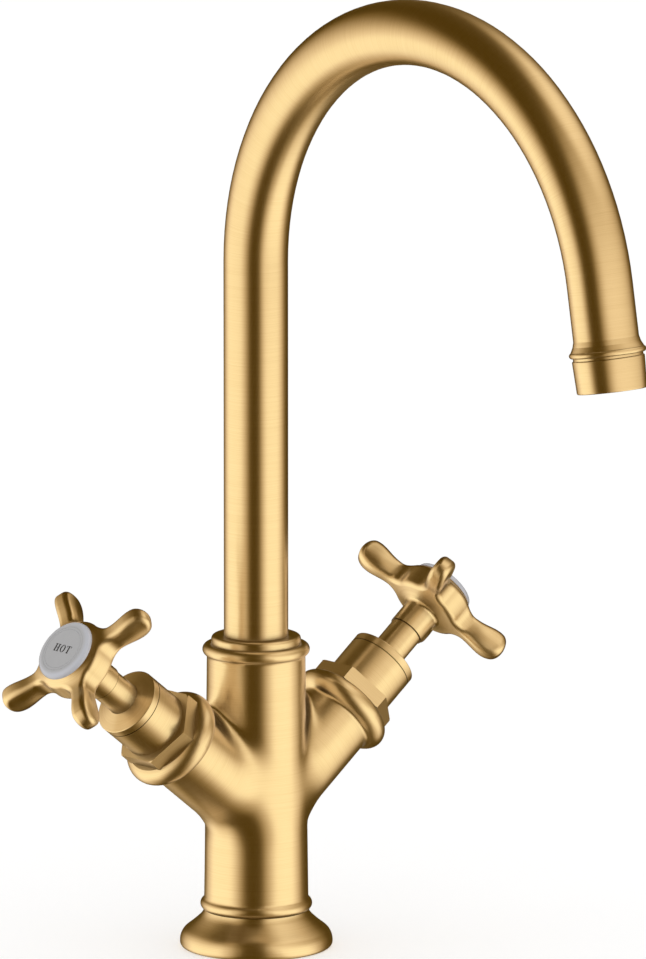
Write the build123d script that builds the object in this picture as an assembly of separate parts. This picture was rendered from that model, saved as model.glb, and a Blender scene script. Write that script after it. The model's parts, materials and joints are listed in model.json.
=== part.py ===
from build123d import *
import os
from math import asin, cos, degrees, radians, sin, sqrt

# Two-handle basin mixer, sizes in mm
# Origin at the centre of the foot on the deck, +Z up, spout to -Y, hot arm to -X

# Fits
RUN_FIT = 0.06
SLIP = 0.05
THREAD_GAP = 0.1
FACE_GAP = 0.02
RING_PLAY = 0.01

# Body column
BODY_LOW_RADIUS = 17.87
BODY_HIGH_RADIUS = 16.82
COLUMN_HEIGHT = 92.6
LOW_BEAD_SIZE = 2.0
LOW_BEAD_SUNK = 0.72
TOP_BEAD_SIZE = 2.1
TOP_BEAD_SUNK = 0.57
TOP_BEAD_DROP = 1.9
BEAD_COVE = 1.3
BLEND_RADIUS = 6.5

# Foot, its bell as (distance outside the body, share of the foot's height)
FOOT_HEIGHT = 13.0
FOOT_BASE = 6.73
FOOT_EDGE = (7.93, 0.05)
FOOT_BELL = [(8.28, 0.146), (8.08, 0.277), (7.13, 0.427), (4.88, 0.577), (2.53, 0.731), (0.73, 0.877)]
SPIGOT_WALL_CUT = 2.67
SPIGOT_BOTTOM = 3.0
SEAL_INSET = 3.8
SEAL_WIDTH = 4.0
SEAL_DEPTH = 2.0
SPIGOT_RADIUS = BODY_LOW_RADIUS - SPIGOT_WALL_CUT
SEAL_INNER = SPIGOT_RADIUS + SEAL_INSET
SEAL_OUTER = SEAL_INNER + SEAL_WIDTH
BODY_TOP = FOOT_HEIGHT + COLUMN_HEIGHT
TOP_BEAD_HEIGHT = BODY_TOP - TOP_BEAD_DROP
TOP_BEAD_RADIUS = BODY_HIGH_RADIUS - TOP_BEAD_SUNK
LOW_BEAD_RADIUS = BODY_LOW_RADIUS - LOW_BEAD_SUNK

# Raised arms, measured along the arm axis from where it meets the body axis
ARM_ROOT = 47.45
ARM_RISE = 38.4
ARM_RADIUS = 13.9
ARM_WALL = 3.4
ARM_BEAD_AT = 48.4
ARM_BEAD_SIZE = 4.2
ARM_BEAD_SUNK = 0.25
ARM_LIP = 4.0
ARM_BORE_DEPTH = 19.4
ARM_SWELL_SHARE = 0.7
ARM_SWELL_LENGTH = 19.0
ARM_SWELL_POWER = 1.6
ARM_SWELL_STEPS = 4
SEAT_BORE = 4.5
SEAT_BORE_START = 7.0
ARM_END = ARM_BEAD_AT + ARM_LIP
ARM_BEAD_RADIUS = ARM_RADIUS - ARM_BEAD_SUNK
ARM_BORE = ARM_RADIUS - ARM_WALL
SEAT_AT = ARM_END - ARM_BORE_DEPTH
ARM_SWELL = ARM_SWELL_SHARE * (BODY_LOW_RADIUS - ARM_RADIUS)

# Spout pipe and its bearing in the body
PIPE_RADIUS = 11.0
PIPE_WALL = 1.2
RISER = 132.7
ARC_RADIUS = 89.3
ARC_ANGLE = 169.6
PIPE_TAIL = 17.7
SWIVEL = 60.0
COLLAR_WALL = 4.3
COLLAR_HEIGHT = 3.0
COLLAR_ROUND = 1.2
BUSH_WALL = 1.65
BUSH_FLOAT = 0.4
BUSH_PROUD = 0.6
NOSE_WALL = 1.25
NOSE_LENGTH = 6.1
BEARING_DEPTH = 27.5
SPIGOT_WALL = 1.5
SPIGOT_BACK = 0.5
SOCKET_DEPTH = 9.0
SPIGOT_STEP = 1.0
THRUST_THICK = 1.0
THRUST_EDGE = 0.2
RING_DEPTH = 1.6
RING_GROOVE_WIDTH = 2.4
RING_RISES = (4.7, 9.2)
STOP_RISE = 15.0
STOP_SCREW = 2.0
STOP_SLOT = 1.3
STOP_END_GAP = 0.3
STOP_SUNK = 0.4
STOP_HEX = 2.0
STOP_HEX_DEPTH = 2.4
PIPE_BORE = PIPE_RADIUS - PIPE_WALL
COLLAR_RADIUS = PIPE_RADIUS + COLLAR_WALL
COLLAR_TOP = BODY_TOP + COLLAR_HEIGHT
BUSH_OUTER = PIPE_RADIUS + BUSH_WALL
BUSH_TOP = BODY_TOP + BUSH_PROUD
NOSE_BORE = BUSH_OUTER + NOSE_WALL
NOSE_LEDGE = BODY_TOP - NOSE_LENGTH
BUSH_BOTTOM = NOSE_LEDGE + BUSH_FLOAT
SPOUT_BORE = PIPE_RADIUS + SPIGOT_WALL
SPOUT_LEDGE = NOSE_LEDGE - BEARING_DEPTH
SOCKET_TOP = NOSE_LEDGE - SPIGOT_BACK
PIPE_BOTTOM = SOCKET_TOP - SOCKET_DEPTH
SPIGOT_BORE = PIPE_BORE - SPIGOT_STEP
RISE_TOP = BODY_TOP + RISER
RING_GROOVE = SPOUT_BORE - RING_DEPTH
RING_SIZE = RING_DEPTH / 2 - RING_PLAY
STOP_HEIGHT = SPOUT_LEDGE + STOP_RISE
STOP_DEPTH = SPOUT_BORE - STOP_SLOT
STOP_TIP = STOP_DEPTH + STOP_END_GAP
COLUMN_FOOT = FOOT_HEIGHT + LOW_BEAD_SIZE
COLUMN_TAPER = (BODY_LOW_RADIUS - BODY_HIGH_RADIUS) / (TOP_BEAD_HEIGHT - COLUMN_FOOT)
STOP_TAIL = BODY_LOW_RADIUS - COLUMN_TAPER * (STOP_HEIGHT - COLUMN_FOOT) - STOP_SUNK

# Waterways
CHAMBER_LEDGE = 3.5
CHAMBER_DEPTH = 9.5
PORT_RADIUS = 5.0
PORT_X = 7.5
PORT_Y = -4.0
PORT_DEPTH = 13.0
FEED_RADIUS = 3.5
LINK_RADIUS = 2.0
LINK_FROM = (3.0, 9.0)
LINK_TO = (7.5, 2.0)
CHAMBER_RADIUS = SPOUT_BORE - CHAMBER_LEDGE
CHAMBER_BOTTOM = SPOUT_LEDGE - CHAMBER_DEPTH

# Fixing below the deck
DECK = 20.0
STUD_RADIUS = 4.0
STUD_Y = 8.5
STUD_GRIP = 17.0
STUD_REACH = 32.0
GASKET_THICK = 3.0
WASHER_THICK = 2.0
SHOE_RADIUS = 22.0
SHOE_SLOT = 15.6
HOSE_ROOM = 0.8
NUT_ACROSS = 13.0
NUT_HEIGHT = 11.0
STUD_TOP = SPIGOT_BOTTOM + STUD_GRIP
STUD_BOTTOM = -DECK - STUD_REACH

# Outlet, measured along the pipe end
FLARE_LENGTH = 3.5
FLARE_OUT = 1.3
OUT_BEAD_SIZE = 1.0
OUT_BEAD_OUT = 0.95
OUT_NECK_OUT = 0.75
OUT_NECK_LENGTH = 1.8
HOUSING_LENGTH = 11.2
HOUSING_TOP_OUT = 1.2
HOUSING_LOW_OUT = 0.75
HOUSING_ROUND = 0.5
HOUSING_FLOOR = 1.2
LIP_GAP = 0.2
SLEEVE_LENGTH = 5.7
OUT_BORE_STEP = 1.4
NOSE_IN = 0.6
OUT_NOSE_LENGTH = 5.5
AERATOR_SEAL_THICK = 1.6
INSERT_EDGE = 0.2
INSERT_FLANGE_THICK = 1.4
INSERT_STEP = 1.1
INSERT_SUNK = 0.4
INSERT_WALL = 1.6
GRID_PITCH = 2.6
GRID_BAR = 0.7
GRID_THICK = 1.6
SCREEN_RIM = 0.85
SCREEN_THICK = 0.6
SCREEN_HOLE = 0.45
SCREEN_PITCH = 1.5
FLARE_RADIUS = PIPE_RADIUS + FLARE_OUT
FLARE_END = PIPE_TAIL + FLARE_LENGTH
OUT_BEAD_RADIUS = PIPE_RADIUS + OUT_BEAD_OUT
OUT_BEAD_AT = FLARE_END + OUT_BEAD_SIZE
OUT_NECK_RADIUS = PIPE_RADIUS + OUT_NECK_OUT
HOUSING_TOP = OUT_BEAD_AT + OUT_NECK_LENGTH
HOUSING_END = HOUSING_TOP + HOUSING_LENGTH
HOUSING_TOP_RADIUS = PIPE_RADIUS + HOUSING_TOP_OUT
HOUSING_LOW_RADIUS = PIPE_RADIUS + HOUSING_LOW_OUT
LIP_TOP = HOUSING_END - HOUSING_FLOOR
INNER_SLEEVE = PIPE_BORE - SLIP
INNER_SLEEVE_START = PIPE_TAIL - SLEEVE_LENGTH
OUT_BORE = PIPE_BORE - OUT_BORE_STEP
NOSE_RADIUS = PIPE_RADIUS - NOSE_IN
NOSE_END = HOUSING_TOP + OUT_NOSE_LENGTH
INSERT_FLANGE = NOSE_RADIUS - INSERT_EDGE
INSERT_RADIUS = NOSE_RADIUS - INSERT_STEP
INSERT_END = HOUSING_END - INSERT_SUNK
HOUSING_LIP = INSERT_RADIUS + LIP_GAP
SCREEN_EDGE = OUT_BORE - SLIP
SCREEN_RADIUS = SCREEN_EDGE - SCREEN_RIM

# Ceramic headwork, measured along the arm axis
HEX_ACROSS = 27.0
HEX_THICK = 5.2
HEX_EDGE = 0.5
BARREL_LIFT = 1.0
BARREL_GAP = 1.5
BARREL_WALL = 0.95
THREAD_LIFT = 2.6
NECK_RADIUS = 9.9
NECK_HEIGHT = 8.4
DISC_THICK = 3.0
PLATE_THICK = 2.7
LUG_HEIGHT = 4.7
SEAT_SEAL_THICK = 1.6
SEAT_SEAL_INNER = 5.0
SEAT_SEAL_OUTER = 7.6
PORT_INNER = 2.8
PORT_OUTER = 6.9
PORT_SPAN = 84.0
WINDOW_SPAN = 84.0
KEY_WIDTH = 2.0
KEY_HEIGHT = 0.8
QUARTER_TURN = 90.0
STOP_BLOCK = 138.0
STOP_LUG = 131.0
STOP_GAP = 0.1
TANG_WIDTH = 3.0
TANG_LENGTH = 11.0
TANG_DEPTH = 1.4
SHAFT_RADIUS = 4.5
HUB_STEP = 0.7
SPINDLE_RING_LIFT = 5.0
SPINDLE_RING_DEPTH = 1.4
SPINDLE_RING_WIDTH = 2.0
CLIP_DEPTH = 0.7
CLIP_THICK = 0.8
CLIP_OUT = 1.9
CLIP_GAP = 5.0
SQUARE = 6.3
SQUARE_LENGTH = 7.0
HEX_TOP = ARM_END + HEX_THICK
NECK_TOP = HEX_TOP + NECK_HEIGHT
BARREL_START = SEAT_AT + BARREL_LIFT
BARREL_RADIUS = ARM_BORE - BARREL_GAP
DISC_CHAMBER = BARREL_RADIUS - BARREL_WALL
DISC_RADIUS = DISC_CHAMBER - SLIP
FIXED_AT = SEAT_AT + SEAT_SEAL_THICK
DISCS_TOP = FIXED_AT + 2 * DISC_THICK
THREAD_START = DISCS_TOP + THREAD_LIFT
CHAMBER_TOP = DISCS_TOP + PLATE_THICK + LUG_HEIGHT
HUB_RADIUS = SHAFT_RADIUS + HUB_STEP
STOP_INNER = HUB_RADIUS + STOP_GAP
SPINDLE_RING_AT = CHAMBER_TOP + SPINDLE_RING_LIFT
SPINDLE_RING_GROOVE = SHAFT_RADIUS - SPINDLE_RING_DEPTH
SPINDLE_RING_SIZE = (SPINDLE_RING_DEPTH + RUN_FIT) / 2 - RING_PLAY
CLIP_GROOVE = SHAFT_RADIUS - CLIP_DEPTH
CLIP_RADIUS = SHAFT_RADIUS + CLIP_OUT

# Bonnet and stem, measured along the arm axis
BONNET_WALL = 2.1
BONNET_RISE = 4.5
CAP_GROOVE = 0.2
CAP_GROOVE_IN = 0.35
CAP_EDGE = 2.8
CAP_CONE = 1.9
CAP_ROUND = 0.3
CAP_SPIGOT_LIFT = 1.5
CLIP_ROOM = 0.8
STEM_WALL = 1.3
STEM_LIFT = 1.1
STEM_LENGTH = 10.8
BONNET_RADIUS = NECK_RADIUS + SLIP + BONNET_WALL
BONNET_TOP = NECK_TOP + BONNET_RISE
CAP_GROOVE_RADIUS = BONNET_RADIUS - CAP_GROOVE_IN
CAP_TOP = BONNET_TOP + CAP_EDGE
CAP_PEAK = CAP_TOP + CAP_CONE
CAP_SPIGOT_START = NECK_TOP + CAP_SPIGOT_LIFT
CAP_COUNTERBORE = CLIP_RADIUS + CLIP_ROOM
STEM_RADIUS = SHAFT_RADIUS + SLIP + STEM_WALL
STEM_START = CAP_SPIGOT_START + STEM_LIFT
STEM_TOP = CAP_PEAK + STEM_LENGTH

# Cross handle, its paddle outlines as (radius, height above the back of the hub)
NECK_WALL = 0.45
NECK_LENGTH = 8.9
NECK_ROUND = 1.5
HUB_FLARE = 1.6
HUB_RIM = 13.1
HUB_THICK = 10.5
PADDLE_FRONT = [(13.2, 8.8), (14.5, 8.4), (16.5, 8.3), (19.0, 8.5), (22.0, 9.1), (25.5, 9.6), (27.8, 9.3)]
PADDLE_TIP = [(29.7, 7.5), (30.4, 4.55), (29.75, 1.65)]
PADDLE_BACK = [(28.05, 0.0), (26.05, -0.7), (22.6, -0.75), (17.5, 0.0)]
PADDLE_HALF = 3.0
PADDLE_LENGTH = 32.0
WEB_FILLET = 6.0
HANDLE_EDGE = 2.0
SEAT_RING = 10.7
RECESS_RADIUS = 8.1
RECESS_DEPTH = 4.8
SCREW_RADIUS = 2.0
SCREW_LENGTH = 10.5
SCREW_HOLE_SPARE = 1.0
SCREW_HEAD = 3.7
SCREW_HEAD_SUNK = 2.8
SCREW_HEAD_THICK = 2.4
SCREW_SEAT = 2.4
SCREW_SLOT = 0.9
NECK_OUTER = STEM_RADIUS + NECK_WALL
NECK_FLARE = STEM_TOP + NECK_LENGTH
HUB_BACK = NECK_FLARE + HUB_FLARE
SEAT_RING_TOP = HUB_BACK + HUB_THICK
RECESS_FLOOR = SEAT_RING_TOP - RECESS_DEPTH
SCREW_HEAD_START = RECESS_FLOOR - SCREW_HEAD_SUNK
SHAFT_TOP = SCREW_HEAD_START - SCREW_SEAT
SQUARE_START = SHAFT_TOP - SQUARE_LENGTH
SCREW_START = SHAFT_TOP - SCREW_LENGTH
SCREW_HOLE_START = SCREW_START - SCREW_HOLE_SPARE

# Index disc
INDEX_OVERHANG = 0.3
INDEX_THICK = 2.0
INDEX_LIFT = 0.8
INDEX_ROUND = 1.8
INDEX_LINES = (7.55, 8.4)
INDEX_LINE_SIZE = 0.12
INDEX_RADIUS = SEAT_RING + INDEX_OVERHANG
INDEX_TOP = SEAT_RING_TOP + INDEX_THICK
INDEX_START = RECESS_FLOOR + INDEX_LIFT


def turned(points):
    outline = Polyline([(r, 0, z) for r, z in points], close=True)
    return revolve(make_face(outline), Axis.Z)


def ring(outer, inner, bottom, top):
    return turned([(inner, bottom), (outer, bottom), (outer, top), (inner, top)])


def rod(radius, bottom, top):
    return Pos(0, 0, (bottom + top) / 2) * Cylinder(radius, top - bottom)


def bead(radius, size, height):
    return Pos(0, 0, height) * Torus(radius, size)


# Distance from the middle of a bead to the ring where it leaves the skin it is sunk in
def bead_reach(size, sunk):
    return sqrt(size**2 - sunk**2)


def ring_edge(shape, centre):
    rings = shape.edges().filter_by(GeomType.CIRCLE)
    return rings.sort_by(lambda e: (e.arc_center - centre).length)[0]


def sector(outer, inner, bottom, top, span, middle):
    outline = Polyline([(inner, 0, bottom), (outer, 0, bottom), (outer, 0, top), (inner, 0, top)], close=True)
    return Rot(0, 0, middle - span / 2) * revolve(make_face(outline), Axis.Z, span)


def prism(across, bottom, top):
    outline = RegularPolygon(across / 2, 6, major_radius=False)
    return Pos(0, 0, bottom) * extrude(outline, top - bottom)


# Frame of an arm: z along the arm axis, x to the front
def arm_place(side):
    rise = radians(ARM_RISE)
    return Plane((0, 0, ARM_ROOT), x_dir=(0, -1, 0), z_dir=(side * cos(rise), 0, sin(rise))).location


# Frame of the pipe end: z along the pipe towards the outlet
def outlet_place():
    bend = radians(ARC_ANGLE)
    origin = (0, -ARC_RADIUS * (1 - cos(bend)), RISE_TOP + ARC_RADIUS * sin(bend))
    return Plane(origin, x_dir=(1, 0, 0), z_dir=(0, -sin(bend), cos(bend))).location


def base_flange():
    shares = [FOOT_EDGE, *FOOT_BELL, (0, 1)]
    outline = [(BODY_LOW_RADIUS + out, 0, share * FOOT_HEIGHT) for out, share in shares]
    inner = SPIGOT_RADIUS + THREAD_GAP
    base = (BODY_LOW_RADIUS + FOOT_BASE, 0, 0)
    bell = Spline(outline[1:])
    edge = Polyline([outline[-1], (inner, 0, FOOT_HEIGHT), (inner, 0, 0), base])
    foot = ThreePointArc(base, outline[0], outline[1])
    shape = revolve(make_face(bell + edge + foot), Axis.Z)
    return shape - ring(SEAL_OUTER, SEAL_INNER, 0, SEAL_DEPTH)


def base_seal():
    return ring(SEAL_OUTER - SLIP, SEAL_INNER + SLIP, 0, SEAL_DEPTH)


def link_bore(side):
    rise = radians(ARM_RISE)
    lift, across = LINK_FROM
    along = SEAT_AT + lift
    start_x = along * cos(rise) - across * sin(rise)
    start_z = ARM_ROOT + along * sin(rise) + across * cos(rise)
    end_x, end_rise = LINK_TO
    run = Vector(side * (end_x - start_x), 0, CHAMBER_BOTTOM + end_rise - start_z)
    place = Plane((side * start_x, 0, start_z), z_dir=run).location
    return place * rod(LINK_RADIUS, 0, run.length)


# The tube swells on its lower side where it runs into the column
def arm_tube(side):
    sections = []
    for step in range(ARM_SWELL_STEPS + 1):
        share = step / ARM_SWELL_STEPS
        swell = ARM_SWELL * (1 - share) ** ARM_SWELL_POWER
        sections.append(Pos(0, side * swell, share * ARM_SWELL_LENGTH) * Circle(ARM_RADIUS + swell))
    return loft(sections) + rod(ARM_RADIUS, ARM_SWELL_LENGTH, ARM_BEAD_AT)


def body():
    column = turned(
        [
            (0, SPIGOT_BOTTOM),
            (SPIGOT_RADIUS, SPIGOT_BOTTOM),
            (SPIGOT_RADIUS, FOOT_HEIGHT),
            (LOW_BEAD_RADIUS, FOOT_HEIGHT),
            (BODY_LOW_RADIUS, COLUMN_FOOT),
            (BODY_HIGH_RADIUS, TOP_BEAD_HEIGHT),
            (TOP_BEAD_RADIUS - sqrt(TOP_BEAD_SIZE**2 - (BODY_TOP - TOP_BEAD_HEIGHT) ** 2), BODY_TOP),
            (0, BODY_TOP),
        ]
    )
    for side in (-1, 1):
        column += arm_place(side) * arm_tube(side)
    joints = column.edges().filter_by(lambda e: e.geom_type not in (GeomType.LINE, GeomType.CIRCLE))
    shape = fillet(joints, BLEND_RADIUS)
    shape += bead(LOW_BEAD_RADIUS, LOW_BEAD_SIZE, COLUMN_FOOT)
    shape += bead(TOP_BEAD_RADIUS, TOP_BEAD_SIZE, TOP_BEAD_HEIGHT)
    low_ring = Vector(0, 0, COLUMN_FOOT + bead_reach(LOW_BEAD_SIZE, LOW_BEAD_SUNK))
    high_ring = Vector(0, 0, TOP_BEAD_HEIGHT - bead_reach(TOP_BEAD_SIZE, TOP_BEAD_SUNK))
    shape = fillet([ring_edge(shape, low_ring), ring_edge(shape, high_ring)], BEAD_COVE)
    for side in (-1, 1):
        place = arm_place(side)
        shape += place * rod(ARM_BEAD_RADIUS, ARM_BEAD_AT, ARM_END)
        shape += place * bead(ARM_BEAD_RADIUS, ARM_BEAD_SIZE, ARM_BEAD_AT)
        foot = (place * Pos(0, 0, ARM_BEAD_AT - bead_reach(ARM_BEAD_SIZE, ARM_BEAD_SUNK))).position
        shape = fillet(ring_edge(shape, foot), BEAD_COVE)
        shape -= place * rod(ARM_RADIUS + ARM_BEAD_SIZE, ARM_END, ARM_END + ARM_BEAD_SIZE)
    shape -= rod(NOSE_BORE, NOSE_LEDGE, BODY_TOP)
    shape -= rod(SPOUT_BORE, SPOUT_LEDGE, NOSE_LEDGE)
    shape -= rod(CHAMBER_RADIUS, CHAMBER_BOTTOM, SPOUT_LEDGE)
    shape -= Pos(0, STUD_Y, 0) * rod(STUD_RADIUS, SPIGOT_BOTTOM, STUD_TOP)
    shape -= Pos(0, 0, STOP_HEIGHT) * Rot(-90, 0, 0) * rod(STOP_SCREW, CHAMBER_RADIUS, STOP_TAIL + STOP_SCREW)
    for side in (-1, 1):
        place = arm_place(side)
        port = Pos(side * PORT_X, PORT_Y, 0)
        reach = PORT_X / cos(radians(ARM_RISE))
        shape -= port * rod(PORT_RADIUS, SPIGOT_BOTTOM, SPIGOT_BOTTOM + PORT_DEPTH)
        shape -= port * rod(FEED_RADIUS, SPIGOT_BOTTOM, ARM_ROOT + reach * sin(radians(ARM_RISE)))
        shape -= place * rod(SEAT_BORE, SEAT_BORE_START, SEAT_AT)
        shape -= place * rod(ARM_BORE, SEAT_AT, ARM_END)
        shape -= link_bore(side)
    return shape


def mounting_stud():
    return Pos(0, STUD_Y, 0) * rod(STUD_RADIUS - SLIP, STUD_BOTTOM, STUD_TOP)


def horseshoe(bottom, top):
    shape = rod(SHOE_RADIUS, bottom, top)
    slot_end = PORT_Y + PORT_RADIUS + HOSE_ROOM
    slot_middle = Pos(0, (slot_end - SHOE_RADIUS) / 2, (bottom + top) / 2)
    slot = slot_middle * Box(SHOE_SLOT * 2, SHOE_RADIUS + slot_end, top - bottom)
    hole = Pos(0, STUD_Y, 0) * rod(STUD_RADIUS + THREAD_GAP, bottom, top)
    return shape - slot - hole


def deck_gasket():
    return horseshoe(-DECK - GASKET_THICK, -DECK)


def deck_washer():
    top = -DECK - GASKET_THICK
    return horseshoe(top - WASHER_THICK, top)


def stud_nut():
    top = -DECK - GASKET_THICK - WASHER_THICK
    nut = prism(NUT_ACROSS, top - NUT_HEIGHT, top) - rod(STUD_RADIUS, top - NUT_HEIGHT, top)
    return Pos(0, STUD_Y, 0) * nut


def spout_collar():
    head = ring(COLLAR_RADIUS, PIPE_RADIUS + RUN_FIT, BODY_TOP, COLLAR_TOP)
    rim = head.edges().filter_by(GeomType.CIRCLE).group_by(Axis.Z)[-1].sort_by(lambda e: e.radius)[-1]
    head = fillet(rim, COLLAR_ROUND)
    nose = ring(NOSE_BORE - SLIP, BUSH_OUTER, NOSE_LEDGE + SLIP, BODY_TOP)
    return head + nose - rod(BUSH_OUTER, NOSE_LEDGE, BUSH_TOP)


def spout_bush():
    return ring(BUSH_OUTER - SLIP, PIPE_RADIUS + RUN_FIT, BUSH_BOTTOM, BUSH_TOP - SLIP)


def spout_tube():
    end = outlet_place().position
    tail = Vector(0, -sin(radians(ARC_ANGLE)), cos(radians(ARC_ANGLE)))
    rise = Line((0, 0, PIPE_BOTTOM), (0, 0, RISE_TOP))
    half = radians(ARC_ANGLE / 2)
    middle = (0, -ARC_RADIUS * (1 - cos(half)), RISE_TOP + ARC_RADIUS * sin(half))
    bend = ThreePointArc((0, 0, RISE_TOP), middle, end)
    run = Line(end, end + tail * PIPE_TAIL)
    path = Wire([rise.edge(), bend.edge(), run.edge()])
    section = Pos(0, 0, PIPE_BOTTOM) * (Circle(PIPE_RADIUS) - Circle(PIPE_BORE))
    return sweep(section, path)


def spout_spigot():
    bottom = SPOUT_LEDGE + THRUST_THICK
    outer = SPOUT_BORE - RUN_FIT
    shape = ring(outer, SPIGOT_BORE, bottom, SOCKET_TOP) - rod(PIPE_RADIUS, PIPE_BOTTOM, SOCKET_TOP)
    for rise in RING_RISES:
        height = SPOUT_LEDGE + rise
        shape -= ring(SPOUT_BORE, RING_GROOVE, height - RING_GROOVE_WIDTH / 2, height + RING_GROOVE_WIDTH / 2)
    screw_angle = degrees(asin((STOP_SCREW + SLIP) / STOP_TIP))
    half = STOP_SCREW + SLIP
    span = 2 * (SWIVEL + screw_angle)
    return shape - sector(SPOUT_BORE, STOP_DEPTH, STOP_HEIGHT - half, STOP_HEIGHT + half, span, 90)


def spout_orings():
    rings = [bead(RING_GROOVE + RING_SIZE, RING_SIZE, SPOUT_LEDGE + rise) for rise in RING_RISES]
    return Compound(children=rings)


def spout_thrust_washer():
    top = SPOUT_LEDGE + THRUST_THICK - FACE_GAP
    return ring(SPOUT_BORE - THRUST_EDGE, CHAMBER_RADIUS + THRUST_EDGE, SPOUT_LEDGE, top)


def spout_grub_screw():
    screw = rod(STOP_SCREW - SLIP, STOP_TIP, STOP_TAIL)
    socket = prism(STOP_HEX, STOP_TAIL - STOP_HEX_DEPTH, STOP_TAIL)
    return Pos(0, 0, STOP_HEIGHT) * Rot(-90, 0, 0) * (screw - socket)


def outlet_collar():
    shape = turned(
        [
            (OUT_BORE, INNER_SLEEVE_START),
            (INNER_SLEEVE, INNER_SLEEVE_START),
            (INNER_SLEEVE, PIPE_TAIL),
            (PIPE_RADIUS, PIPE_TAIL),
            (PIPE_RADIUS + (FLARE_RADIUS - PIPE_RADIUS) / 3, (PIPE_TAIL + FLARE_END) / 2),
            (FLARE_RADIUS, FLARE_END),
            (OUT_NECK_RADIUS, OUT_BEAD_AT),
            (OUT_NECK_RADIUS, HOUSING_TOP),
            (NOSE_RADIUS, HOUSING_TOP),
            (NOSE_RADIUS, NOSE_END),
            (OUT_BORE, NOSE_END),
        ]
    )
    return outlet_place() * (shape + bead(OUT_BEAD_RADIUS, OUT_BEAD_SIZE, OUT_BEAD_AT))


def aerator_housing():
    inner = NOSE_RADIUS + SLIP
    shape = turned(
        [
            (inner, HOUSING_TOP),
            (HOUSING_TOP_RADIUS, HOUSING_TOP),
            (HOUSING_LOW_RADIUS, HOUSING_END),
            (HOUSING_LIP, HOUSING_END),
            (HOUSING_LIP, LIP_TOP),
            (inner, LIP_TOP),
        ]
    )
    rims = shape.edges().filter_by(GeomType.CIRCLE).filter_by(lambda e: e.radius > NOSE_RADIUS + 1)
    return outlet_place() * fillet(rims, HOUSING_ROUND)


def aerator_seal():
    return outlet_place() * ring(NOSE_RADIUS, OUT_BORE, NOSE_END, NOSE_END + AERATOR_SEAL_THICK)


def aerator_insert():
    top = NOSE_END + AERATOR_SEAL_THICK
    shape = ring(INSERT_FLANGE, INSERT_RADIUS - INSERT_WALL, top, top + INSERT_FLANGE_THICK)
    shape += ring(INSERT_RADIUS, INSERT_RADIUS - INSERT_WALL, top, INSERT_END)
    count = int(INSERT_RADIUS / GRID_PITCH)
    bars = rod(INSERT_WALL, INSERT_END - GRID_THICK, INSERT_END)
    for step in range(-count, count + 1):
        reach = 2 * sqrt((INSERT_RADIUS - INSERT_WALL / 2) ** 2 - (step * GRID_PITCH) ** 2)
        middle = INSERT_END - GRID_THICK / 2
        bars += Pos(step * GRID_PITCH, 0, middle) * Box(GRID_BAR, reach, GRID_THICK)
        bars += Pos(0, step * GRID_PITCH, middle) * Box(reach, GRID_BAR, GRID_THICK)
    return outlet_place() * (shape + bars)


def aerator_screen():
    top = NOSE_END + AERATOR_SEAL_THICK
    plate = rod(SCREEN_EDGE, top - SCREEN_THICK, top)
    count = int(SCREEN_RADIUS / SCREEN_PITCH)
    holes = []
    for column in range(-count, count + 1):
        for row in range(-count, count + 1):
            x = column * SCREEN_PITCH
            y = row * SCREEN_PITCH
            if sqrt(x * x + y * y) < SCREEN_RADIUS - SCREEN_HOLE:
                holes.append(Pos(x, y, 0) * rod(SCREEN_HOLE, top - SCREEN_THICK, top))
    return outlet_place() * (plate - holes)


def seat_seal():
    return ring(SEAT_SEAL_OUTER, SEAT_SEAL_INNER, SEAT_AT, FIXED_AT)


def disc_keys(width, bottom, top):
    keys = []
    for angle in (0, 180):
        bar = Pos(DISC_CHAMBER, 0, (bottom + top) / 2) * Box(2 * KEY_HEIGHT, width, top - bottom)
        keys.append(Rot(0, 0, angle) * bar)
    return keys


def fixed_disc():
    top = FIXED_AT + DISC_THICK
    shape = rod(DISC_RADIUS, FIXED_AT, top)
    for middle in (0, 180):
        shape -= sector(PORT_OUTER, PORT_INNER, FIXED_AT, top, PORT_SPAN, middle + 90)
    return shape - disc_keys(KEY_WIDTH + 2 * SLIP, FIXED_AT, top)


def turning_disc():
    bottom = FIXED_AT + DISC_THICK + FACE_GAP
    top = FIXED_AT + 2 * DISC_THICK
    shape = rod(DISC_RADIUS, bottom, top)
    for middle in (0, 180):
        shape -= sector(DISC_CHAMBER, PORT_INNER, bottom, top, PORT_SPAN, middle)
    slot = Pos(0, 0, top - TANG_DEPTH / 2) * Box(TANG_WIDTH, TANG_LENGTH, TANG_DEPTH)
    return shape - slot


def valve_body():
    shape = rod(BARREL_RADIUS, BARREL_START, THREAD_START)
    shape += rod(ARM_BORE - THREAD_GAP, THREAD_START, ARM_END)
    nut = prism(HEX_ACROSS, ARM_END, HEX_TOP)
    corner = HEX_ACROSS / sqrt(3)
    shape += nut & turned(
        [
            (0, ARM_END),
            (corner, ARM_END),
            (corner, HEX_TOP - HEX_EDGE / 2),
            (corner - HEX_EDGE, HEX_TOP),
            (0, HEX_TOP),
        ]
    )
    shape += rod(NECK_RADIUS, HEX_TOP, NECK_TOP)
    shape -= rod(DISC_CHAMBER, BARREL_START, CHAMBER_TOP)
    shape -= rod(SHAFT_RADIUS + RUN_FIT, CHAMBER_TOP, NECK_TOP)
    low = FIXED_AT + DISC_THICK + 2 * FACE_GAP
    high = FIXED_AT + 2 * DISC_THICK
    for middle in (90, 270):
        shape -= sector(ARM_BORE, STOP_INNER, low, high, WINDOW_SPAN, middle)
    plate_top = high + PLATE_THICK
    shape += sector(BARREL_RADIUS, STOP_INNER, plate_top + SLIP, CHAMBER_TOP, STOP_BLOCK, 90)
    keys = disc_keys(KEY_WIDTH, FIXED_AT, FIXED_AT + DISC_THICK - SLIP)
    for key in keys:
        shape += key & rod(BARREL_RADIUS, BARREL_START, THREAD_START)
    return shape


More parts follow.
